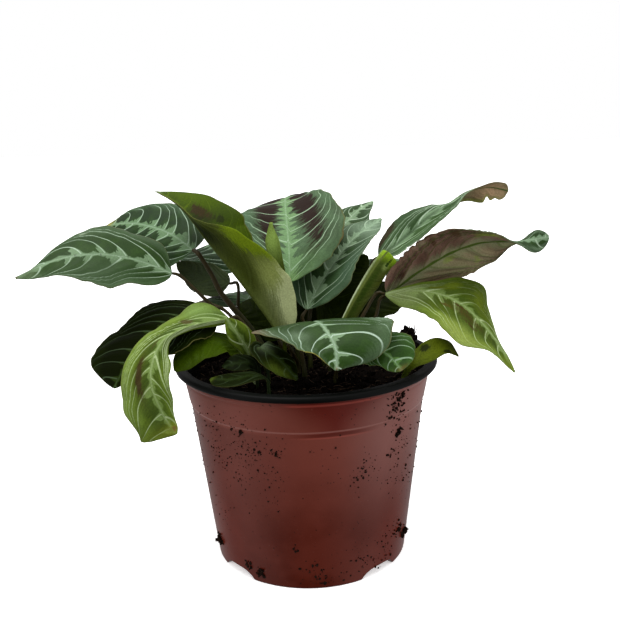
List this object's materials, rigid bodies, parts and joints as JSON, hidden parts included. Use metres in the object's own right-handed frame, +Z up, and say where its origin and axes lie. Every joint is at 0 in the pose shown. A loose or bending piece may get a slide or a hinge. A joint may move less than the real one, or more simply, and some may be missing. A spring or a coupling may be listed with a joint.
{
  "type": "potted prayer plant",
  "caption": "Potted prayer plant with broad waved leaves on thin brown stalks, in a round tapered nursery pot with a dark rim, filled with soil.",
  "frame": {"origin": "on the surface it stands on, under the middle of the whole plant's outer box; the pot's axis is 7.1 mm to +X and 21.7 mm to -Y of it", "axes": "+Z up, -Y is the pictured front, +X is to the right in the picture and runs along the plant's widest spread"},
  "size_m": [0.2486, 0.1734, 0.1827],
  "materials": {
    "pot_outside": "satin",
    "pot_inside": "satin",
    "soil": "matte",
    "leaf_grey_green": "satin",
    "leaf_dark_green": "satin",
    "leaf_deep_green": "satin",
    "leaf_lime": "satin",
    "leaf_olive": "satin",
    "leaf_red_brown": "satin",
    "stalk": "satin"
  },
  "bodies": {
    "root": {"pot": "pot_outside", "pot_inner": "pot_inside", "soil": "soil", "leaf_far_left": "leaf_grey_green", "stalk_far_left": "stalk", "leaf_upper_left": "leaf_dark_green", "stalk_upper_left": "stalk", "leaf_olive": "leaf_olive", "stalk_olive": "stalk", "leaf_center": "leaf_dark_green", "stalk_center": "stalk", "leaf_center_right": "leaf_dark_green", "stalk_center_right": "stalk", "leaf_upper_right": "leaf_dark_green", "stalk_upper_right": "stalk", "leaf_red_under": "leaf_red_brown", "stalk_red_under": "stalk", "leaf_lime": "leaf_lime", "stalk_lime": "stalk", "leaf_rolled": "leaf_olive", "stalk_rolled": "stalk", "leaf_front": "leaf_grey_green", "stalk_front": "stalk", "leaf_low_left": "leaf_deep_green", "stalk_low_left": "stalk", "leaf_hanging": "leaf_lime", "stalk_hanging": "stalk", "leaf_back_tip": "leaf_dark_green", "stalk_back_tip": "stalk", "leaf_back_left": "leaf_dark_green", "stalk_back_left": "stalk", "leaf_grey": "leaf_deep_green", "stalk_grey": "stalk", "leaf_shade_back": "leaf_deep_green", "stalk_shade_back": "stalk", "leaf_shade_left": "leaf_deep_green", "stalk_shade_left": "stalk", "leaf_shade_right": "leaf_deep_green", "stalk_shade_right": "stalk", "leaf_shade_center": "leaf_deep_green", "stalk_shade_center": "stalk", "leaf_back_a": "leaf_dark_green", "stalk_back_a": "stalk", "leaf_back_b": "leaf_grey_green", "stalk_back_b": "stalk", "leaf_back_c": "leaf_dark_green", "stalk_back_c": "stalk", "leaf_front_right": "leaf_dark_green", "stalk_front_right": "stalk", "leaf_backlit": "leaf_deep_green", "stalk_backlit": "stalk", "leaf_young": "leaf_lime", "leaf_over_rim": "leaf_lime", "leaf_soil_left": "leaf_deep_green", "leaf_soil_back": "leaf_deep_green", "leaf_crumpled": "leaf_olive", "leaf_scrap": "leaf_lime"}
  },
  "joints": []
}
